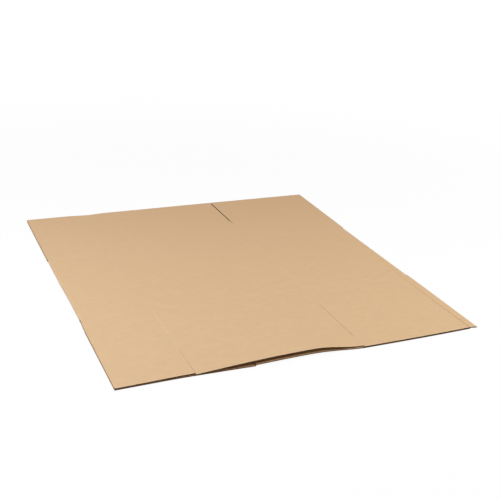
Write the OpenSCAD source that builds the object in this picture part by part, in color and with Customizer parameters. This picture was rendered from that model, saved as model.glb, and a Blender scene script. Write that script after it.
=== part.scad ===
// Flattened corrugated box: one creased and slotted sheet, glued into a tube and folded flat.
// The pack lies on Z = 0 with its origin under the middle. X runs along the front cut end and
// +Y points to the back cut end. Flaps lie in line with their panels, front and back.

/* [Box] */

// Long panel, crease to crease
long_panel = 645; // [580:5:800]
// Short panel, crease to crease
short_panel = 355; // [250:5:450]
// Height of the panels, between the flap creases
panel_height = 390; // [250:10:500]
// Depth of every flap, crease to cut end
flap_depth = 340; // [200:10:350]

/* [Board] */

// Thickness of the corrugated board
board = 3; // [3:0.5:5]
// Space between the two layers where they lie flat
layer_gap = 0.6; // [0.4:0.1:1.2]
// Thickness of each paper facing
facing = 0.4; // [0.3:0.05:0.6]
// Thickness of the fluted paper between the facings
medium = 0.4; // [0.3:0.05:0.5]
// Distance from one flute to the next
flute_pitch = 7; // [6:0.5:9]
// Width of a flute's flat crest
flute_crest = 1.2; // [0.8:0.1:1.6]
// How far the flute mouths run in from the cut ends
flute_mouth = 25; // [10:5:60]

/* [Creases and slots] */

// Width of the slots between neighbouring flaps
slot_width = 3; // [3:0.5:8]
// Length of the cut-off flap corners where a slot ends at a fold
slot_end = 4; // [2:0.5:8]
// Clearance between a flap's root and the fold beside it
root_clear = 1; // [0.5:0.5:3]
// Width of a pressed crease line
crease_width = 2.5; // [1.5:0.5:2.5]
// Depth of a pressed crease line
crease_sink = 0.3; // [0.2:0.05:0.4]

/* [Glued joint] */

// Distance of the lap's edge from the left fold
joint_offset = 193; // [150:1:250]
// Width of the glue tab under the lap
tab_width = 35; // [25:5:45]
// Thickness of the glue tab, which is crushed thin before it is glued
tab_thick = 1.3; // [1:0.1:2]
// Stretch beside the left fold that lies flat before the lap climbs onto the tab
lap_lead = 20; // [10:5:60]
// Slit between the two flaps at the joint
joint_slit = 2; // [1:0.5:4]

/* [Lie of the flaps] */

// Rise of the bulging front flap at its cut end
bulge_rise = 14.5; // [8:0.5:25]
// Distance of the bulge's crest from the left fold
bulge_crest = 505; // [450:5:560]
// Rise of the lower front flap under the bulge
lower_rise = 7; // [3:0.5:7]
// Share of that rise kept at the lower flap's slot
lower_hold = 0.4; // [0.3:0.05:0.7]
// Width of the front strip that hangs past the lower flap, at the right fold
strip_width = 20; // [15:1:35]
// Drop of that strip at its outer corner
strip_drop = 2.6; // [1:0.2:3]
// How far the front flaps stand out past the folds
front_flare = 1; // [0:0.5:3]
// How far the back flaps stand out past the folds
back_flare = 3; // [0:0.5:5]

/* [Hidden] */

half_width = (long_panel + short_panel) / 2;
crease_y = panel_height / 2;
end_y = crease_y + flap_depth;
// The upper layer's underside where it lies flat, and the outer radius of a fold.
upper_z = board + layer_gap;
fold_radius = board + layer_gap / 2;
flat_x = half_width - fold_radius;
// The corner creases between the panels of each layer, away from the folds.
upper_corner = long_panel - half_width;
lower_corner = -upper_corner;
joint_x = joint_offset - half_width;
tab_x = joint_x - tab_width;
lead_x = lap_lead - flat_x;
crest_x = bulge_crest - half_width;
strip_x = half_width - strip_width;
half_slot = slot_width / 2;
half_slit = joint_slit / 2;
// A flap is this wide, to each side, where it leaves its crease: just clear of the folds.
root_x = flat_x - root_clear;
mouth_y = end_y - flute_mouth;
root_y = crease_y + slot_end;
// Neighbouring stretches of board run this far into each other, so that they are one sheet.
weld = slot_end / 4;
// A crease line is a shallow arc of this radius.
crease_radius = (pow(crease_width / 2, 2) + pow(crease_sink, 2)) / (2 * crease_sink);
// A flute's half width at its narrow and wide side, for the space left beside the fluted paper.
mouth_narrow = flute_crest / 2;
mouth_wide = (flute_pitch - flute_crest) / 2 - medium;
// Bent flaps are drawn in steps this long across, and in this many rows along.
bend_step = 9;
bend_rows = 6;
card = "BurlyWood";

// Heights of the underside of each stretch of board, at a place x across the pack.
lower_flat = function (x) 0;
upper_flat = function (x) upper_z;
lap_slope = function (x) upper_z + tab_thick * max(0, min(1, (x - lead_x) / (tab_x - lead_x)));

// Extra rise of the bent front flaps at their cut end.
function crest_fall(x) = (1 + cos(180 * min(1, (x - crest_x) / (upper_corner - crest_x)))) / 2;
function crest_climb(x, from) = sin(90 * (x - from) / (crest_x - from));
bulge = function (x)
    bulge_rise * (x < crest_x ? crest_climb(x, joint_x + half_slit) : crest_fall(x));
under_bulge = function (x)
    let (climb = lower_hold + (1 - lower_hold) * crest_climb(x, lower_corner + half_slot))
    lower_rise * (x < crest_x ? climb : crest_fall(x));
strip_hang = function (x)
    -strip_drop * max(0, x - strip_x) / (strip_width + front_flare);

// Places across a flap: its two edges and any corner between, or even steps for a bend.
function steps(from, to) =
    let (n = ceil((to - from) / bend_step))
    [for (i = [0:n]) from + (to - from) * i / n];

// The board's outline across a flap or panel, over the given underside.
module board_section(xs, under, thick = board) {
    polygon(concat(
        [for (x = xs) [x, under(x)]],
        [for (i = [len(xs) - 1:-1:0]) [xs[i], under(xs[i]) + thick]]
    ));
}

// The open spaces on both sides of the fluted paper.
module flute_spaces(from, to, under) {
    count = floor((to - from - flute_crest) / flute_pitch);
    first = (from + to - count * flute_pitch) / 2 + flute_pitch / 2;
    low = facing;
    high = board - facing;
    for (k = [0:count - 1]) {
        a = first + k * flute_pitch;
        b = a + flute_pitch / 2;
        polygon([
            [a - mouth_wide, under(a - mouth_wide) + high],
            [a + mouth_wide, under(a + mouth_wide) + high],
            [a + mouth_narrow, under(a + mouth_narrow) + low + medium],
            [a - mouth_narrow, under(a - mouth_narrow) + low + medium],
        ]);
        if (k < count - 1)
            polygon([
                [b - mouth_wide, under(b - mouth_wide) + low],
                [b + mouth_wide, under(b + mouth_wide) + low],
                [b + mouth_narrow, under(b + mouth_narrow) + high - medium],
                [b - mouth_narrow, under(b - mouth_narrow) + high - medium],
            ]);
    }
}

module fluted_section(xs, under) {
    difference() {
        board_section(xs, under);
        flute_spaces(xs[0], xs[len(xs) - 1], under);
    }
}

// Draws a section along Y between two places, given in either order.
module along(y_one, y_other) {
    translate([0, max(y_one, y_other), 0])
        rotate([90, 0, 0])
            linear_extrude(abs(y_other - y_one))
                children();
}

// The first stretch of a flap past its crease, with the slot's end cut off its corners.
module flap_root(side, xs, under) {
    along(side * (crease_y - weld), side * (root_y + weld))
        board_section([for (x = xs) max(-root_x, min(root_x, x))], under);
}

// A flap that lies flat, from its crease out to the open flutes of its cut end.
module flat_flap(side, xs, under) {
    flap_root(side, xs, under);
    along(side * root_y, side * mouth_y)
        board_section(xs, under);
    along(side * (mouth_y - weld), side * end_y)
        fluted_section(xs, under);
}

// A front flap that is flat at its crease and takes up its bend towards the cut end.
module bent_flap(xs, under, rise) {
    n = len(xs);
    ring = 2 * n;
    bend_from = root_y + weld;
    bend_to = mouth_y - weld;
    // Each row's distance from the middle of the pack, and its share of the rise.
    bend = [
        for (j = [0:bend_rows])
            let (s = j / bend_rows)
            [bend_from + s * (bend_to - bend_from), s * s * (2 - s)]
    ];
    rows = concat([[root_y, 0]], bend, [[mouth_y, 1]]);
    last = len(rows) - 1;
    points = [
        for (row = rows)
            for (k = [0:ring - 1])
                let (x = k < n ? xs[k] : xs[ring - 1 - k])
                [x, -row[0], under(x) + rise(x) * row[1] + (k < n ? 0 : board)]
    ];
    walls = [
        for (j = [0:last - 1])
            for (k = [0:ring - 1])
                let (a = j * ring + k, b = j * ring + (k + 1) % ring)
                for (tri = [[a, b + ring, b], [a, a + ring, b + ring]])
                    tri
    ];
    ends = [
        for (j = [0, last])
            for (k = [0:n - 2])
                let (
                    a = j * ring + k,
                    b = j * ring + ring - 1 - k,
                    one = [a, b, b - 1],
                    two = [a, b - 1, a + 1]
                )
                for (tri = [one, two])
                    j == 0 ? [tri[2], tri[1], tri[0]] : tri
    ];
    flap_root(-1, xs, under);
    polyhedron(points, concat(walls, ends));
    along(-(mouth_y - weld), -end_y)
        fluted_section(xs, function (x) under(x) + rise(x));
}

// Half of a ring, open to the left: the board turned back on itself.
module fold_section() {
    difference() {
        intersection() {
            circle(fold_radius, $fn = 48);
            translate([0, -fold_radius])
                square([fold_radius, 2 * fold_radius]);
        }
        circle(layer_gap / 2, $fn = 24);
    }
}

// The four panels as a flattened tube, closed by the lap that is glued down on its tab.
module tube_section() {
    board_section([-flat_x, flat_x], lower_flat);
    board_section([joint_x, flat_x], upper_flat);
    board_section([tab_x, joint_x + half_slit], upper_flat, tab_thick);
    board_section([-flat_x, lead_x, tab_x, joint_x], lap_slope);
    for (side = [0, 1])
        mirror([side, 0])
            translate([flat_x, fold_radius])
                fold_section();
}

// The tool that presses a crease line into the outer face between two points of it.
module crease(from, to, outward) {
    run = to - from;
    long = norm(run);
    translate(from + [0, 0, outward * (crease_radius - crease_sink)])
        rotate([0, acos(run[2] / long), atan2(run[1], run[0])])
            cylinder(h = long, r = crease_radius, $fn = 96);
}

module creases() {
    top = upper_z + board;
    for (side = [-1, 1]) {
        y = side * (crease_y - weld - crease_width);
        crease([-root_x, y, 0], [root_x, y, 0], -1);
        crease([joint_x + half_slit, y, top], [root_x, y, top], 1);
        crease([-root_x, y, top], [lead_x, y, top], 1);
        crease([lead_x, y, top], [tab_x, y, top + tab_thick], 1);
        crease([tab_x, y, top + tab_thick], [joint_x + half_slit, y, top + tab_thick], 1);
    }
    crease([lower_corner, -end_y, 0], [lower_corner, end_y, 0], -1);
    crease([upper_corner, -end_y, top], [upper_corner, end_y, top], 1);
}

module panels() {
    difference() {
        along(-crease_y, crease_y)
            tube_section();
        creases();
    }
}

module back_flaps() {
    outer = half_width + back_flare;
    flat_flap(1, [-outer, lower_corner - half_slot], lower_flat);
    flat_flap(1, [lower_corner + half_slot, outer], lower_flat);
    flat_flap(1, [-outer, lead_x, tab_x, joint_x - half_slit], lap_slope);
    flat_flap(1, [joint_x + half_slit, upper_corner - half_slot], upper_flat);
    flat_flap(1, [upper_corner + half_slot, outer], upper_flat);
}

module front_flaps() {
    outer = half_width + front_flare;
    flat_flap(-1, [-outer, lower_corner - half_slot], lower_flat);
    bent_flap(steps(lower_corner + half_slot, strip_x), lower_flat, under_bulge);
    flat_flap(-1, [-outer, lead_x, tab_x, joint_x - half_slit], lap_slope);
    bent_flap(steps(joint_x + half_slit, upper_corner - half_slot), upper_flat, bulge);
    bent_flap([upper_corner + half_slot, strip_x, outer], upper_flat, strip_hang);
}

module folded_sheet() {
    color(card) {
        panels();
        back_flaps();
        front_flaps();
    }
}

folded_sheet();
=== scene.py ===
import math

import bmesh
import bpy
import numpy as np
from mathutils import Matrix, Vector


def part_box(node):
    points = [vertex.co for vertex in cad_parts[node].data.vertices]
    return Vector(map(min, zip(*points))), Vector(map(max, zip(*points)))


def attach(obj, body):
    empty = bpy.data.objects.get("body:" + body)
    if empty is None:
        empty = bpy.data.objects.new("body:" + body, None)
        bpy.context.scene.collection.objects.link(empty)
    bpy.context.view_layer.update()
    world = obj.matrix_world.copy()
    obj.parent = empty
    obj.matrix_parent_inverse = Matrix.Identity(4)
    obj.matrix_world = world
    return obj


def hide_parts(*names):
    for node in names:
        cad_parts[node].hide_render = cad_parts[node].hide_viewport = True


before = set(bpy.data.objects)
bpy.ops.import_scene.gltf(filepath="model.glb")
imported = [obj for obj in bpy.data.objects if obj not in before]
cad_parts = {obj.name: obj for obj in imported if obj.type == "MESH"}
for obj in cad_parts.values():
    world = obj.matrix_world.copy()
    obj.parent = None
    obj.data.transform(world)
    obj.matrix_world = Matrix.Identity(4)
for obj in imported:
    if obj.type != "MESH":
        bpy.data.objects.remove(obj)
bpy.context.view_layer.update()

# The folded sheet
# One blank of single-wall corrugated board, slotted, creased and glued along a lap into a tube.
# It is pressed flat into two layers, so its flaps lie in line with the panels, front and back.
low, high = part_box("folded_sheet")
board = 0.003
layer_gap = 0.0006
facing = 0.0004
front_flare = 0.001
back_flare = 0.003
long_panel = 0.645
panel_height = 0.39
slot_end = 0.004
flute_mouth = 0.025
half_width = high[0] - back_flare
end_y = high[1]
crease_y = panel_height / 2
root_y = crease_y + slot_end
mouth_y = end_y - flute_mouth
fold_radius = board + layer_gap / 2
flat_x = half_width - fold_radius
upper_z = board + layer_gap
upper_corner = long_panel - half_width
lower_corner = -upper_corner

# The joint: a lap, glued over a tab that is crushed thin, with the panel beside it eased up to meet it
joint_offset = 0.193
tab_width = 0.035
tab_thick = 0.0013
glue_film = 0.0001
lap_lead = 0.020
lap_step = 0.0003
lap_ease = 0.06
ease_fade = 0.15
lap_settle = 0.8
half_slit = 0.001
joint_x = joint_offset - half_width
tab_x = joint_x - tab_width
lead_x = lap_lead - flat_x

# The front flaps: the middle one bulges up over the lower one, and a strip at the right droops
bulge_crest = 0.505
bulge_rise = 0.0145
lower_rise = 0.007
lower_hold = 0.4
strip_width = 0.020
strip_drop = 0.0026
crest_x = bulge_crest - half_width
strip_x = half_width - strip_width


def bend(y):
    """A front flap's share of its rise, from nothing at the crease to all of it at the cut end."""
    s = np.clip((-y - root_y) / (mouth_y - root_y), 0, 1)
    return s * s * (2 - s)


def crest_climb(x, start):
    return np.sin(math.pi / 2 * np.clip((x - start) / (crest_x - start), 0, 1))


def crest_fall(x):
    return (1 + np.cos(math.pi * np.clip((x - crest_x) / (upper_corner - crest_x), 0, 1))) / 2


half_slot = 0.0015


def lower_under(x, y):
    """Height of the lower layer's underside."""
    climb = lower_hold + (1 - lower_hold) * crest_climb(x, lower_corner + half_slot)
    rise = lower_rise * np.where(x < crest_x, climb, crest_fall(x))
    return np.where(x > lower_corner, rise, 0) * bend(y)


def upper_under(x, y):
    """Height of the upper layer's underside, from the glue tab to the right fold."""
    beside_lap = (1 - np.clip((x - joint_x) / lap_ease, 0, 1)) * (x > joint_x)
    along_lap = np.clip(1 + (y + root_y) / ease_fade, 0, 1) * (1 - bend(-y))
    ease = (tab_thick - lap_step) * beside_lap * beside_lap * along_lap
    rise = bulge_rise * np.where(x < crest_x, crest_climb(x, joint_x + half_slit), crest_fall(x))
    hang = strip_drop * np.clip((x - strip_x) / (half_width + front_flare - strip_x), 0, 1)
    return upper_z + ease + np.where(x < upper_corner, rise, -hang) * bend(y)


def lap_under(x, y):
    """Height of the lap's underside, which climbs from the left fold onto the glue tab."""
    t = np.clip((x - lead_x) / (tab_x - lead_x), 0, 1)
    climb = (tab_thick + glue_film) * t * t * (3 - 2 * t)
    return upper_z + climb * (1 - lap_settle * bend(-y))


def clear_of_folds(x, y):
    """Where a layer has board at all: short of the folds, the slot ends and the outer edges."""
    side = np.abs(x)
    depth = np.abs(y)
    flare = np.where(y < 0, front_flare, back_flare)
    panel = (depth < crease_y) & (side < flat_x)
    root = (depth > crease_y) & (depth < root_y) & (side < half_width)
    flap = (depth > root_y) & (side < half_width + flare)
    return panel | root | flap


def lower_kept(x, y):
    in_flaps = np.abs(y) > crease_y
    slot = in_flaps & (np.abs(x - lower_corner) < half_slot)
    short_end = (y < -crease_y) & (x > strip_x)
    return clear_of_folds(x, y) & ~slot & ~short_end


def upper_kept(x, y):
    in_flaps = np.abs(y) > crease_y
    slot = in_flaps & (np.abs(x - upper_corner) < half_slot)
    tab_only = in_flaps & (x < joint_x + half_slit)
    return clear_of_folds(x, y) & ~slot & ~tab_only


def lap_kept(x, y):
    slit = (np.abs(y) > crease_y) & (x > joint_x - half_slit)
    return clear_of_folds(x, y) & ~slit


# The slots, as shares of their cut width that stay open once the flaps beside them have slipped
slot_shut = 0.03
slot_taper = 0.04
back_shut = 0.325
back_open = 1.15
front_shut = 0.28
front_meet = 0.475
front_open = 0.21
lower_closing = 0.98
slit_shut = 0.05
slit_root = 0.22
slit_spread = 0.4


def lower_slot(y):
    """Half the width of the lower slots: the back one is open, the front one closes towards its end."""
    return half_slot * (1 - lower_closing * bend(y))


def upper_slot(y):
    """Half the width of the upper slots: the back one closes inwards, the front one is a mere line."""
    back = slot_shut + back_open * np.clip((y - back_shut) / slot_taper, 0, 1)
    front = slot_shut + front_open * np.clip((-y - front_shut) / slot_taper, 0, 1) * (y > -front_meet)
    return half_slot * np.where(y > 0, back, front)


def joint_slot(y):
    """Half the width of the slit beside the lap, which is shut at the back and opens to the front."""
    return half_slit * np.where(y > 0, slit_shut, slit_root + slit_spread * bend(y))


slip_reach = 0.06
lower_shift = 0.008
back_shift = 0.002


def slip(x, y, middle, half, left):
    """How far the flaps beside a slot have slipped sideways into it, to leave a half width of left."""
    away = x - middle
    beside = np.clip(1 - (np.abs(away) - half) / slip_reach, 0, 1)
    past_root = np.clip(1 + (np.abs(y) - crease_y) / slot_end, 0, 1)
    return -np.clip(away / half, -1, 1) * (half - left) * beside * past_root


def lower_slip(x, y):
    """The lower slots' slip, and the front one's shift to the left with both its flaps."""
    near = np.clip(1 - np.abs(x - lower_corner) / slip_reach, 0, 1)
    return slip(x, y, lower_corner, half_slot, lower_slot(y)) - lower_shift * near * bend(y)


def upper_slip(x, y):
    """The slip at the joint and at the upper slots, and the back slot's shift to the left."""
    near = np.clip(1 - np.abs(x - upper_corner) / slip_reach, 0, 1)
    at_joint = slip(x, y, joint_x, half_slit, joint_slot(y))
    return at_joint + slip(x, y, upper_corner, half_slot, upper_slot(y)) - back_shift * near * bend(-y)


def lap_slip(x, y):
    return slip(x, y, joint_x, half_slit, joint_slot(y))


# The flaps' ends, which are not quite square
left_back = 0.004
right_forward = 0.0052
left_shade = 0.0013
right_shade = 0.0022
back_short = 0.0072
joint_short = 0.0125
middle_short = 0.0055
back_long = 0.003


def right_bow(x):
    """How far the right front flaps' ends stand forward, from their slot to the right fold."""
    return right_forward * (1 - np.clip((x - upper_corner) / (half_width - upper_corner), 0, 1) ** 3)


def back_skew(x):
    """The back flaps end short at the left, most of all at the joint, and long at the right fold."""
    places = (joint_x - slip_reach, joint_x, joint_x + slip_reach, upper_corner, half_width)
    return np.interp(x, places, (-back_short, -joint_short, -middle_short, 0, back_long))


def upper_skew(x, y):
    """How far back the upper flaps' ends lie, front and back."""
    left = left_back * np.clip((x + half_width) / (joint_x + half_width), 0, 1) * (x < joint_x)
    return (left - right_bow(x) * (x > upper_corner)) * bend(y) + back_skew(x) * bend(-y)


def lower_skew(x, y):
    """How far back the lower flaps' ends lie, in the shade of the upper ones at the left and the right."""
    left = np.interp(x, (-half_width, joint_x, lower_corner), (0, left_back, 0))
    near_right = np.clip(1 + (x - upper_corner) / slip_reach, 0, 1)
    near_left = np.clip((joint_x - x) / slip_reach, 0, 1)
    shaded = left_shade * near_left + right_shade * near_right
    return (left + shaded - right_bow(x) * near_right) * bend(y) + back_skew(x) * bend(-y)


# The folds, which are not quite straight
fold_lean = 0.0027
lean_reach = 0.2
left_true = 0.08
root_fade = 0.06
back_lean = 1.7


def lean(x, y):
    """How far the folds, and the flaps' roots beside them, stand out of line sideways."""
    at_left = np.clip(1 - (x + flat_x) / lean_reach, 0, 1)
    at_right = np.clip(1 + (x - flat_x) / lean_reach, 0, 1)
    in_panel = np.clip((root_y - np.abs(y)) / slot_end, 0, 1)
    towards_back = np.clip((y + left_true) / (crease_y - left_true), 0, 1)
    at_front_root = np.clip(1 + (y + crease_y) / root_fade, 0, 1) * (y < -crease_y)
    towards_end = np.clip((end_y - np.abs(y)) / (end_y - crease_y), 0, 1)
    at_right_end = at_right * towards_end * np.where(y > crease_y, back_lean, 1)
    return fold_lean * (at_left * (at_front_root - in_panel * towards_back) - at_right_end)


# The pressed lines: creases, the lap's glued edge and the line along the drooping strip
crease_width = 0.0025
crease_inset = 0.0035
crease_sink = 0.0001
under_sink = 0.0003
# Also the width over which the pale rims beside the joint's slit fade out, partly a painted highlight along
# the seam.
joint_rim = 0.003
glued_press = 2
line_inset = 0.004
strip_line = 0.0015
strip_sink = 0.0006
line_root = 0.55
line_run = 0.12
line_x = strip_x - line_inset


def press(d, sink=crease_sink, reach=crease_width):
    """Depth of a pressed crease line at a distance d from its middle."""
    return sink * (1 + np.cos(math.pi * np.clip(d / reach, -1, 1))) / 2


def lower_pressed(x, y):
    """The creases at the flaps' roots, and the one between the two panels, with no dent beside them."""
    flap_creases = press(np.abs(y) - crease_y + crease_inset, under_sink)
    creases = np.maximum(flap_creases, press(x - lower_corner, under_sink))
    return creases * (np.abs(y) < crease_y), np.zeros_like(x)


def upper_pressed(x, y):
    """The upper layer's creases, and the dent where the front strip bends over the lower flap, which is
    also painted dark as shade.
    """
    flap_creases = press(np.abs(y) - crease_y + crease_inset)
    creases = np.maximum(flap_creases, press(x - upper_corner))
    fading = np.interp(y, (-end_y, -crease_y, line_run - crease_y), (1, line_root, 0))
    return creases * (np.abs(y) < crease_y), press(x - line_x, strip_sink, strip_line) * fading


def lap_pressed(x, y):
    """The lap's creases, and its glued edge, which is pressed down towards the front, with no dent."""
    flap_creases = press(np.abs(y) - crease_y + crease_inset)
    glued_edge = press(x - joint_x, glued_press * crease_sink, joint_rim + half_slit)
    creases = np.maximum(flap_creases, glued_edge * np.clip(-y / crease_y, 0, 1))
    return creases * (np.abs(y) < crease_y), np.zeros_like(x)


def lines(stops, step):
    """The stops in order, with even lines between them no further apart than a step."""
    stops = sorted(set(round(s, 7) for s in stops))
    row = []
    for a, b in zip(stops, stops[1:]):
        n = math.ceil((b - a) / step)
        row += [a + (b - a) * k / n for k in range(n)]
    return np.array(row + stops[-1:])


# The upper ends are coloured with painted shade, the lower ends with painted light.
OUTSIDE, INSIDE, CUT, SHADED_UPPER_END, LIT_LOWER_END = range(5)
points = []
scuff_and_shading_values = []
quads = []
papers = []
cut_ends = []


def add_points(xyz, scuff_and_shading):
    first = len(points)
    points.extend(np.reshape(xyz, (-1, 3)).tolist())
    scuff_and_shading_values.extend(np.broadcast_to(scuff_and_shading, np.shape(xyz)[:-1]).ravel().tolist())
    return first + np.arange(len(points) - first).reshape(np.shape(xyz)[:-1])


def add_quad(a, b, c, d, paper):
    quads.append((int(a), int(b), int(c), int(d)))
    papers.append(paper)


# How the knife and wear mark the board: cut rims are pinched, and rubbed pale as creases are; the rims are
# paler at the front than at the back, partly wear and partly a painted highlight along the front edges
cut_rim = 0.001
cut_pinch = 0.0001
back_wear_and_highlight = 0.3
crease_rub = 0.5
most_rub = 1.25


def lay_board(xs, ys, kept, under, pressed, slipped, skewed, outside_up, end_paper, tab_edge=None):
    """Lays one layer of board on a grid, leaves out what is cut away and closes every cut."""
    x, y = np.meshgrid(xs, ys, indexing="ij")
    bottom = under(x, y)
    top = bottom + (board if tab_edge is None else np.where(x > tab_edge, board, tab_thick))
    middle_x = (xs[1:] + xs[:-1]) / 2
    middle_y = (ys[1:] + ys[:-1]) / 2
    cell = np.pad(kept(*np.meshgrid(middle_x, middle_y, indexing="ij")), 1)

    # A corner of the grid lies on a cut where some but not all of its four cells are kept.
    around = sum(cell[i : i + len(xs), j : j + len(ys)].astype(int) for i in (0, 1) for j in (0, 1))
    on_fold = (np.abs(np.abs(x) - flat_x) < 1e-6) & (np.abs(y) < crease_y + 1e-6)
    rim = (around > 0) & (around < 4) & ~on_fold
    crease, shaded_dent = pressed(x, y)
    # Rims are pale, fully at the front and less at the back: partly wear, partly a painted highlight.
    rim_wear_and_highlight = rim * np.interp(y, (-crease_y, crease_y), (1, back_wear_and_highlight))
    wear_and_highlight = np.maximum(rim_wear_and_highlight, np.minimum(crease_rub * crease / crease_sink, most_rub))
    # Painted shade: in the strip's dent the value is negative, which paints the kraft dark there.
    scuff_and_shading = np.where(shaded_dent > crease, -shaded_dent / strip_sink, wear_and_highlight)
    sunk = np.maximum(crease, shaded_dent)
    x, y = x + slipped(x, y) + lean(x, y), y + skewed(x, y)
    top = top - cut_pinch * rim - sunk * outside_up
    bottom = bottom + cut_pinch * rim * outside_up + sunk * (not outside_up)
    tops = add_points(np.stack([x, y, top], -1), scuff_and_shading)
    bottoms = add_points(np.stack([x, y, bottom], -1), scuff_and_shading)

    inner = cell[1:-1, 1:-1]
    top_paper, bottom_paper = (OUTSIDE, INSIDE) if outside_up else (INSIDE, OUTSIDE)
    for i, j in zip(*np.nonzero(inner)):
        a, b, c, d = (i, j), (i + 1, j), (i + 1, j + 1), (i, j + 1)
        add_quad(tops[a], tops[b], tops[c], tops[d], top_paper)
        add_quad(bottoms[d], bottoms[c], bottoms[b], bottoms[a], bottom_paper)
        for step, one, other in (((0, -1), a, b), ((1, 0), b, c), ((0, 1), c, d), ((-1, 0), d, a)):
            joined = cell[i + 1 + step[0], j + 1 + step[1]] or (on_fold[one] and on_fold[other])
            at_end = one[1] == other[1] and one[1] in (0, len(ys) - 1)
            if not joined and not at_end:
                wall = CUT if abs(x[one]) > flat_x else end_paper
                add_quad(bottoms[one], bottoms[other], tops[other], tops[one], wall)

    # The cut ends stay open between the two facings, where the flutes show.
    for end, side in ((0, -1), (-1, 1)):
        mouth = int(np.argmin(np.abs(ys - side * mouth_y)))
        breaks = np.flatnonzero(np.diff(np.pad(inner[:, end].astype(int), 1)))
        for start, stop in breaks.reshape(-1, 2):
            run = slice(start, stop + 1)
            ends = [grid[run, j] for j in (end, mouth) for grid in (y, top, bottom)]
            open_end(x[run, end], *ends, tops[run, end], bottoms[run, end], end_paper)


def open_end(xs, y_end, top, bottom, y_in, top_in, bottom_in, top_ids, bottom_ids, end_paper):
    """The lips of both facings at a cut end, and the inside of the board behind them."""
    cut_ends.append((xs, y_end, top, bottom, y_in, top_in, bottom_in, end_paper))
    mouth_x = np.clip(xs, xs[0] + facing, xs[-1] - facing)
    lip_top = add_points(np.stack([mouth_x, y_end, top - facing], -1), 0)
    lip_bottom = add_points(np.stack([mouth_x, y_end, bottom + facing], -1), 0)
    back_top = add_points(np.stack([mouth_x, y_in, top_in - facing], -1), 0)
    back_bottom = add_points(np.stack([mouth_x, y_in, bottom_in + facing], -1), 0)
    order = 1 if y_end[0] < 0 else -1
    for k, turned in ((0, order), (-1, -order)):
        side_lip = (bottom_ids[k], lip_bottom[k], lip_top[k], top_ids[k])[::turned]
        side_wall = (lip_bottom[k], back_bottom[k], back_top[k], lip_top[k])[::turned]
        add_quad(*side_lip, end_paper)
        add_quad(*side_wall, INSIDE)
    for k in range(len(xs) - 1):
        a, b = (k, k + 1)[::order]
        add_quad(lip_top[a], lip_top[b], top_ids[b], top_ids[a], end_paper)
        add_quad(bottom_ids[a], bottom_ids[b], lip_bottom[b], lip_bottom[a], end_paper)
        add_quad(back_top[a], back_top[b], lip_top[b], lip_top[a], INSIDE)
        add_quad(back_bottom[a], back_bottom[b], back_top[b], back_top[a], INSIDE)
        add_quad(lip_bottom[a], lip_bottom[b], back_bottom[b], back_bottom[a], INSIDE)


# The grid that the layers are laid on, with a line at every cut and across every crease
wide_step = 0.012
upper_step = 0.008
end_rim = 0.004
crease_shares = (-1, -0.6, -0.3, 0, 0.3, 0.6, 1)
corner_shares = (-0.3, 0, 0.3)
line_shares = (-1, -0.5, 0, 0.5, 1)

y_stops = []
for side in (-1, 1):
    y_stops += [side * s for s in (end_y, end_y - end_rim, mouth_y, root_y, crease_y)]
    y_stops += [side * (crease_y - crease_inset + crease_width * s) for s in crease_shares]
ys = lines(y_stops, wide_step)


def edge_stops(edges):
    """Each cut edge, and a line just inside it that the knife's pinch runs out to."""
    return [e + side * cut_rim for e in edges for side in (-1, 0, 1)]


def corner_stops(corner):
    """The lines of a crease between two panels, and of the slots in line with it."""
    across = [corner + crease_width * s for s in corner_shares]
    return across + edge_stops([corner - half_slot, corner + half_slot])


right_stops = [flat_x, half_width, half_width + front_flare, half_width + back_flare]
left_stops = [-s for s in right_stops]
lower_stops = left_stops + corner_stops(lower_corner) + [strip_x - cut_rim, strip_x] + right_stops
lay_board(
    lines(lower_stops, wide_step),
    ys,
    lower_kept,
    lower_under,
    lower_pressed,
    lower_slip,
    lower_skew,
    outside_up=False,
    end_paper=LIT_LOWER_END,
)

slit_right = joint_x + half_slit
upper_stops = [tab_x, joint_x, joint_x + glue_film, slit_right, slit_right + joint_rim]
upper_stops += corner_stops(upper_corner)
upper_stops += [strip_x] + [line_x + strip_line * s for s in line_shares] + right_stops
lay_board(
    lines(upper_stops, upper_step),
    ys,
    upper_kept,
    upper_under,
    upper_pressed,
    upper_slip,
    upper_skew,
    outside_up=True,
    end_paper=SHADED_UPPER_END,
    tab_edge=joint_x,
)

slit_left = joint_x - half_slit
lap_stops = left_stops + [lead_x, tab_x, slit_left - joint_rim, slit_left, joint_x]
lay_board(
    lines(lap_stops, upper_step),
    ys,
    lap_kept,
    lap_under,
    lap_pressed,
    lap_slip,
    upper_skew,
    outside_up=True,
    end_paper=SHADED_UPPER_END,
)

# The two folds turn the board back on itself, and close the layers into a tube.
fold_turns = 14
fold_rub = 0.55
fold_ys = ys[np.abs(ys) < crease_y + 1e-6]
turn = np.linspace(-math.pi / 2, math.pi / 2, fold_turns + 1)
angle, y = np.meshgrid(turn, fold_ys, indexing="ij")
fold_sink = np.interp(angle, (turn[0], turn[-1]), (under_sink, crease_sink))
fold_crease = press(np.abs(y) - crease_y + crease_inset, fold_sink)
for side in (-1, 1):
    rings = []
    for radius, rub in ((fold_radius - fold_crease, fold_rub), (layer_gap / 2, 0)):
        x = side * (flat_x + radius * np.cos(angle)) + lean(side * flat_x, y)
        rings.append(add_points(np.stack([x, y, fold_radius + radius * np.sin(angle)], -1), rub))
    outer, inner_ring = rings
    for i in range(fold_turns):
        for j in range(len(fold_ys) - 1):
            a, b, c, d = ((i, j), (i, j + 1), (i + 1, j + 1), (i + 1, j))[::side]
            add_quad(outer[a], outer[b], outer[c], outer[d], OUTSIDE)
            add_quad(inner_ring[d], inner_ring[c], inner_ring[b], inner_ring[a], INSIDE)
        for j, order in ((0, side), (len(fold_ys) - 1, -side)):
            ring = (outer[i, j], outer[i + 1, j], inner_ring[i + 1, j], inner_ring[i, j])[::order]
            add_quad(*ring, CUT)


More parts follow.
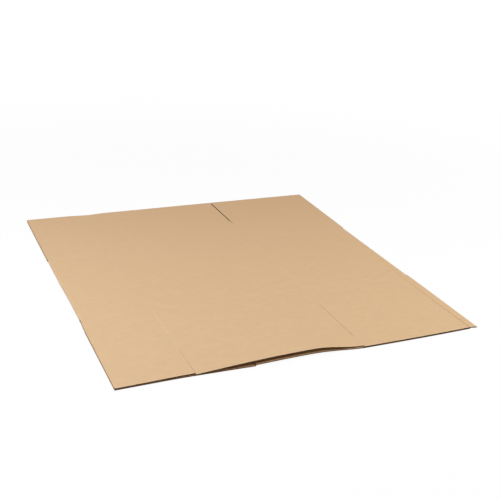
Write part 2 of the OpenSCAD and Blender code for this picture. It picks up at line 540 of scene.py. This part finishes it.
def linear(red, green, blue):
    """A colour as read on a screen, from 0 to 255, as the light that a material needs."""
    parts = [c / 255 for c in (red, green, blue)]
    return tuple(c / 12.92 if c <= 0.04045 else ((c + 0.055) / 1.055) ** 2.4 for c in parts) + (1.0,)


class Tone:
    """A socket in a material, with which the material's sums are written as plain expressions."""

    def __init__(self, socket):
        self.socket = socket

    def node(self, kind, settings=None, inputs=None, output=0):
        tree = self.socket.id_data
        new = tree.nodes.new(kind)
        for name, value in (settings or {}).items():
            setattr(new, name, value)
        for name, value in (inputs or {}).items():
            if isinstance(value, Tone):
                tree.links.new(value.socket, new.inputs[name])
            else:
                new.inputs[name].default_value = value
        return Tone(new.outputs[output])

    def other(self, output):
        return Tone(self.socket.node.outputs[output])

    def math(self, operation, *values):
        return self.node("ShaderNodeMath", {"operation": operation}, dict(enumerate(values)))

    def __add__(self, value):
        return self.math("ADD", self, value)

    def __radd__(self, value):
        return self.math("ADD", value, self)

    def __sub__(self, value):
        return self.math("SUBTRACT", self, value)

    def __rsub__(self, value):
        return self.math("SUBTRACT", value, self)

    def __mul__(self, value):
        return self.math("MULTIPLY", self, value)

    def __rmul__(self, value):
        return self.math("MULTIPLY", value, self)

    def sine(self):
        return self.math("SINE", self)

    def at_least(self, least):
        return self.math("MAXIMUM", self, least)

    def above(self, start, full):
        """0 below start, 1 above full."""
        ends = {"Value": self, "From Min": start, "From Max": full, "To Min": 0.0, "To Max": 1.0}
        return self.node("ShaderNodeMapRange", {"interpolation_type": "SMOOTHSTEP"}, ends)

    def blend(self, colour, over):
        """A colour, with another over it where this value is 1."""
        return self.node("ShaderNodeMix", {"data_type": "RGBA"}, {0: self, 6: colour, 7: over}, 2)

    def stretched(self, *scale):
        """Coordinates with another scale along each axis."""
        return self.node("ShaderNodeVectorMath", {"operation": "MULTIPLY"}, {0: self, 1: scale})

    def noise(self, detail, roughness=0.5):
        inputs = {"Vector": self, "Scale": 1.0, "Detail": detail, "Roughness": roughness}
        return self.node("ShaderNodeTexNoise", None, inputs)


def new_paper(name):
    """An empty material, its shader and the place on the sheet in metres."""
    material = bpy.data.materials.new(name)
    material.use_nodes = True
    shader = material.node_tree.nodes["Principled BSDF"]
    place = Tone(material.node_tree.nodes.new("ShaderNodeTexCoord").outputs["Object"])
    return material, shader, place


def feed(shader, socket, tone):
    shader.id_data.links.new(tone.socket, shader.inputs[socket])


def raise_grain(shader, height, strength):
    """Lets a height in metres tilt the light on a surface."""
    bump = height.node("ShaderNodeBump", None, {"Height": height, "Strength": strength, "Distance": 1.0})
    feed(shader, "Normal", bump)


flute_pitch = 0.007


def kraft(name, colour, pale, dark):
    """Kraft facing: cloudy pulp, long fibres across the flutes, flecks, scuffs at folds and cuts with a
    painted highlight on the front rims, and painted shade in the strip's dent.
    """
    material, shader, place = new_paper(name)
    cloud = place.stretched(38, 55, 38).noise(4, 0.6) - 0.5
    fibres = place.stretched(240, 1900, 900).noise(3, 0.6) - 0.5
    cross = place.stretched(1500, 420, 900).noise(2, 0.5) - 0.5
    fleck = place.stretched(420, 1250, 700).noise(1).above(0.68, 0.76)
    pale_hair = place.stretched(160, 2600, 700).noise(2).above(0.66, 0.76)
    across = place.node("ShaderNodeSeparateXYZ", None, {0: place})
    flute = (across * (2 * math.pi / flute_pitch)).sine()
    scuff_and_shading = place.node("ShaderNodeAttribute", {"attribute_name": "scuff_and_shading"}, None, 2)
    wear_and_highlight = scuff_and_shading.at_least(0.0) * (fibres + cloud + 0.75).above(0.45, 0.95)
    shaded_dent = (0 - scuff_and_shading).above(0.0, 1.0)

    strength = 1 + cloud * 0.11 + fibres * 0.14 + cross * 0.06 + flute * 0.004
    tint = place.node("ShaderNodeVectorMath", {"operation": "SCALE"}, {0: colour[:3], "Scale": strength})
    tint = (pale_hair * 0.3).blend(tint, pale)
    tint = (fleck * 0.35).blend(tint, dark)
    # Wear, with a painted highlight on the front rims and beside the joint's slit.
    tint = (wear_and_highlight * 0.5).blend(tint, pale)
    # Painted shade: dark where the value is negative, along the dent of the drooping strip.
    tint = (shaded_dent * 0.85).blend(tint, dark)
    feed(shader, "Base Color", tint)
    feed(shader, "Roughness", 0.74 + cloud * 0.12 + fibres * 0.2 + wear_and_highlight * 0.1)
    height = fibres * 0.00006 + cross * 0.00003 + cloud * 0.00012 + flute * 0.000006 + wear_and_highlight * 0.00005
    raise_grain(shader, height, 0.6)
    shader.inputs["Specular IOR Level"].default_value = 0.35
    return material


def cut_edge(name, colour, dark):
    """A knife-cut edge: the facings' torn fibres, with the darker fluted paper between them."""
    material, shader, place = new_paper(name)
    grain = place.stretched(900, 160, 2600).noise(4, 0.65) - 0.5
    patch = place.stretched(120, 90, 400).noise(3) - 0.5
    shade = (grain + patch).above(-0.3, 0.3)
    feed(shader, "Base Color", shade.blend(dark, colour))
    feed(shader, "Roughness", 0.88 + grain * 0.1)
    raise_grain(shader, grain * 0.0002, 0.7)
    shader.inputs["Specular IOR Level"].default_value = 0.1
    return material


def weld_mesh(name, materials):
    """The collected quads as one mesh, with the stretches that meet joined along their lines."""
    mesh = bpy.data.meshes.new(name)
    mesh.from_pydata(points, [], quads)
    mesh.polygons.foreach_set("material_index", papers)
    mesh.polygons.foreach_set("use_smooth", [True] * len(quads))
    mesh.attributes.new("scuff_and_shading", "FLOAT", "POINT").data.foreach_set("value", scuff_and_shading_values)
    for material in materials:
        mesh.materials.append(material)
    welded = bmesh.new()
    welded.from_mesh(mesh)
    bmesh.ops.remove_doubles(welded, verts=welded.verts, dist=0.00001)
    loose = [v for v in welded.verts if not v.link_faces]
    bmesh.ops.delete(welded, geom=loose, context="VERTS")
    welded.to_mesh(mesh)
    welded.free()
    mesh.set_sharp_from_angle(angle=math.radians(35))
    piece = bpy.data.objects.new(name, mesh)
    bpy.context.scene.collection.objects.link(piece)
    return piece


kraft_colour = linear(219, 183, 141)
kraft_pale = linear(236, 208, 172)
kraft_dark = linear(150, 108, 68)
inside_colour = linear(203, 166, 124)
outside_paper = kraft("kraft_outside", kraft_colour, kraft_pale, kraft_dark)
inside_paper = kraft("kraft_inside", inside_colour, kraft_colour, kraft_dark)
side_cut = cut_edge("side_cut", linear(198, 160, 118), linear(160, 122, 84))
# Painted shade: the upper layer's cut ends are coloured near black, for the shade between the layers and in
# the open flutes.
shaded_upper_end = cut_edge("shaded_upper_end", linear(64, 43, 25), linear(32, 20, 10))
# Painted light: the lower layer's cut ends are coloured paler than the side cuts, a lit copy of the same
# board's edge.
lit_lower_end = cut_edge("lit_lower_end", linear(226, 188, 154), linear(178, 141, 110))
card_sheet = weld_mesh("card_sheet", [outside_paper, inside_paper, side_cut, shaded_upper_end, lit_lower_end])
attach(card_sheet, "root")
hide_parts("folded_sheet")

# The fluted paper
# A thin brown paper, pressed into waves between hot rollers and glued crest by crest to the facings.
# It shows only at the cut front and back ends, where each flute is an open mouth.
flute_paper_thick = 0.0003
samples_per_flute = 10
recess = 0.0003
points.clear()
scuff_and_shading_values.clear()
quads.clear()
papers.clear()
for xs, y_end, top, bottom, y_in, top_in, bottom_in, end_paper in cut_ends:
    wave_paper = end_paper - SHADED_UPPER_END
    count = round((xs[-1] - xs[0]) / flute_pitch * samples_per_flute)
    wave_x = np.linspace(xs[0] + 2 * facing, xs[-1] - 2 * facing, count + 1)
    wave = np.cos(2 * math.pi * (wave_x - xs[0]) / flute_pitch)
    rows = []
    for y_row, t, b in ((y_end - np.copysign(recess, y_end), top, bottom), (y_in, top_in, bottom_in)):
        t_wave = np.interp(wave_x, xs, t) - facing
        b_wave = np.interp(wave_x, xs, b) + facing
        middle = (t_wave + b_wave) / 2 + wave * ((t_wave - b_wave) / 2 - flute_paper_thick / 2)
        for half in (flute_paper_thick / 2, -flute_paper_thick / 2):
            row = np.stack([wave_x, np.interp(wave_x, xs, y_row), middle + half], -1)
            rows.append(add_points(row, 0))
    over_end, under_end, over_in, under_in = rows
    order = 1 if y_end[0] < 0 else -1
    for k in range(count):
        a, b = (k, k + 1)[::order]
        add_quad(over_end[a], over_end[b], over_in[b], over_in[a], wave_paper)
        add_quad(under_in[a], under_in[b], under_end[b], under_end[a], wave_paper)
        add_quad(under_end[a], under_end[b], over_end[b], over_end[a], wave_paper)
        add_quad(over_in[a], over_in[b], under_in[b], under_in[a], wave_paper)
    for k, turned in ((0, order), (-1, -order)):
        strip_end = (over_end[k], over_in[k], under_in[k], under_end[k])[::turned]
        add_quad(*strip_end, wave_paper)

# Painted shade: the upper layer's flutes are coloured near black, like its cut ends.
shaded_upper_flutes = cut_edge("shaded_upper_flutes", linear(62, 42, 25), linear(31, 20, 10))
# Painted light: the lower layer's flutes are coloured pale, a lit copy of the same fluted paper.
lit_lower_flutes = cut_edge("lit_lower_flutes", linear(214, 175, 140), linear(166, 130, 98))
flute_paper = weld_mesh("flute_paper", [shaded_upper_flutes, lit_lower_flutes])
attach(flute_paper, "root")
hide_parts("folded_sheet")

# The floor
# A plain white studio sweep, seen as white, which still takes a soft shadow from the pack.
floor_reach = 15.0
floor_drop = 0.0002
shadow_share = 0.06
shadow_reach = 0.75
white_reach = 2.5
floor_white = (1, 1, 1, 1)
floor_grey = (0.4, 0.4, 0.4, 1)
floor_z = low[2] - floor_drop
sweep = bpy.data.meshes.new("floor")
corner_signs = ((-1, -1), (1, -1), (1, 1), (-1, 1))
corners = [(x * floor_reach, y * floor_reach, floor_z) for x, y in corner_signs]
sweep.from_pydata(corners, [], [(0, 1, 2, 3)])
floor = bpy.data.objects.new("floor", sweep)
bpy.context.scene.collection.objects.link(floor)
white_floor, floor_shader, place = new_paper("white_floor")
sweep.materials.append(white_floor)
floor_shader.inputs["Roughness"].default_value = 0.9
floor_shader.inputs["Specular IOR Level"].default_value = 0.0


def in_sight(tone):
    """1 for the rays that see a thing straight, in a gloss or through glass, and 0 for those that light."""
    path = tone.node("ShaderNodeLightPath")
    mirrored = tone.math("MAXIMUM", path.other("Is Glossy Ray"), path.other("Is Transmission Ray"))
    return tone.math("MAXIMUM", path.other("Is Camera Ray"), mirrored)


seen = in_sight(place)
feed(floor_shader, "Base Color", seen.blend(floor_grey, floor_white))
glow = place.node("ShaderNodeEmission", None, {"Color": floor_white, "Strength": 1.0})
lit = Tone(floor_shader.outputs[0])
distance = place.node("ShaderNodeVectorMath", {"operation": "LENGTH"}, {0: place}, 1)
shadow = shadow_share * (1 - distance.above(shadow_reach, white_reach))
white = seen.node("ShaderNodeMixShader", None, {0: seen * (1 - shadow), 1: lit, 2: glow})
feed(white_floor.node_tree.nodes["Material Output"], "Surface", white)

# The light
# Soft warm daylight, brightest overhead, and two broad soft boxes, one to each side of the pack.
sky_horizon = 0.09
sky_gain = 0.435
sky_tint = (1.0, 0.682, 0.659, 1)
world = bpy.data.worlds.new("daylight")
world.use_nodes = True
sky = world.node_tree.nodes["Background"]
direction = Tone(world.node_tree.nodes.new("ShaderNodeTexCoord").outputs["Generated"])
height = direction.node("ShaderNodeSeparateXYZ", None, {0: direction}, 2)
in_view = in_sight(direction)
daylight = sky_horizon + sky_gain * height.at_least(0.0)
feed(sky, "Color", in_view.blend(sky_tint, floor_white))
feed(sky, "Strength", daylight + in_view * (1 - daylight))
bpy.context.scene.world = world

box_width = 1.8
box_depth = 1.2
right_box = ("right_box", Vector((1.3, -0.9, 1.6)), 26.0, (0.828, 1.0, 0.973))
left_box = ("left_box", Vector((-1.3, -0.2, 1.2)), 21.2, (0.733, 0.913, 1.0))
for name, box_place, box_power, box_tint in (right_box, left_box):
    soft_box = bpy.data.lights.new(name, "AREA")
    soft_box.shape = "RECTANGLE"
    soft_box.size = box_width
    soft_box.size_y = box_depth
    soft_box.energy = box_power
    soft_box.color = box_tint
    lamp = bpy.data.objects.new(name, soft_box)
    towards_pack = (-box_place).to_track_quat("-Z", "Y").to_matrix().to_4x4()
    lamp.matrix_world = Matrix.Translation(box_place) @ towards_pack
    bpy.context.scene.collection.objects.link(lamp)

# The camera
# It stands in front of the pack's left half, looks down on it and leans a little to one side.
camera_place = Vector((-0.9383, -2.1250, 1.0608))
heading = math.radians(25.197)
pitch = math.radians(23.170)
tilt = math.radians(3.894)
lens = bpy.data.cameras.new("camera")
lens.sensor_width = 36.0
lens.lens = 61.395
camera = bpy.data.objects.new("camera", lens)
aim = Matrix.Rotation(-heading, 4, "Z") @ Matrix.Rotation(math.pi / 2 - pitch, 4, "X")
camera.matrix_world = Matrix.Translation(camera_place) @ aim @ Matrix.Rotation(tilt, 4, "Z")
bpy.context.scene.collection.objects.link(camera)
bpy.context.scene.camera = camera
bpy.context.scene.view_settings.view_transform = "Standard"

bpy.context.view_layer.update()
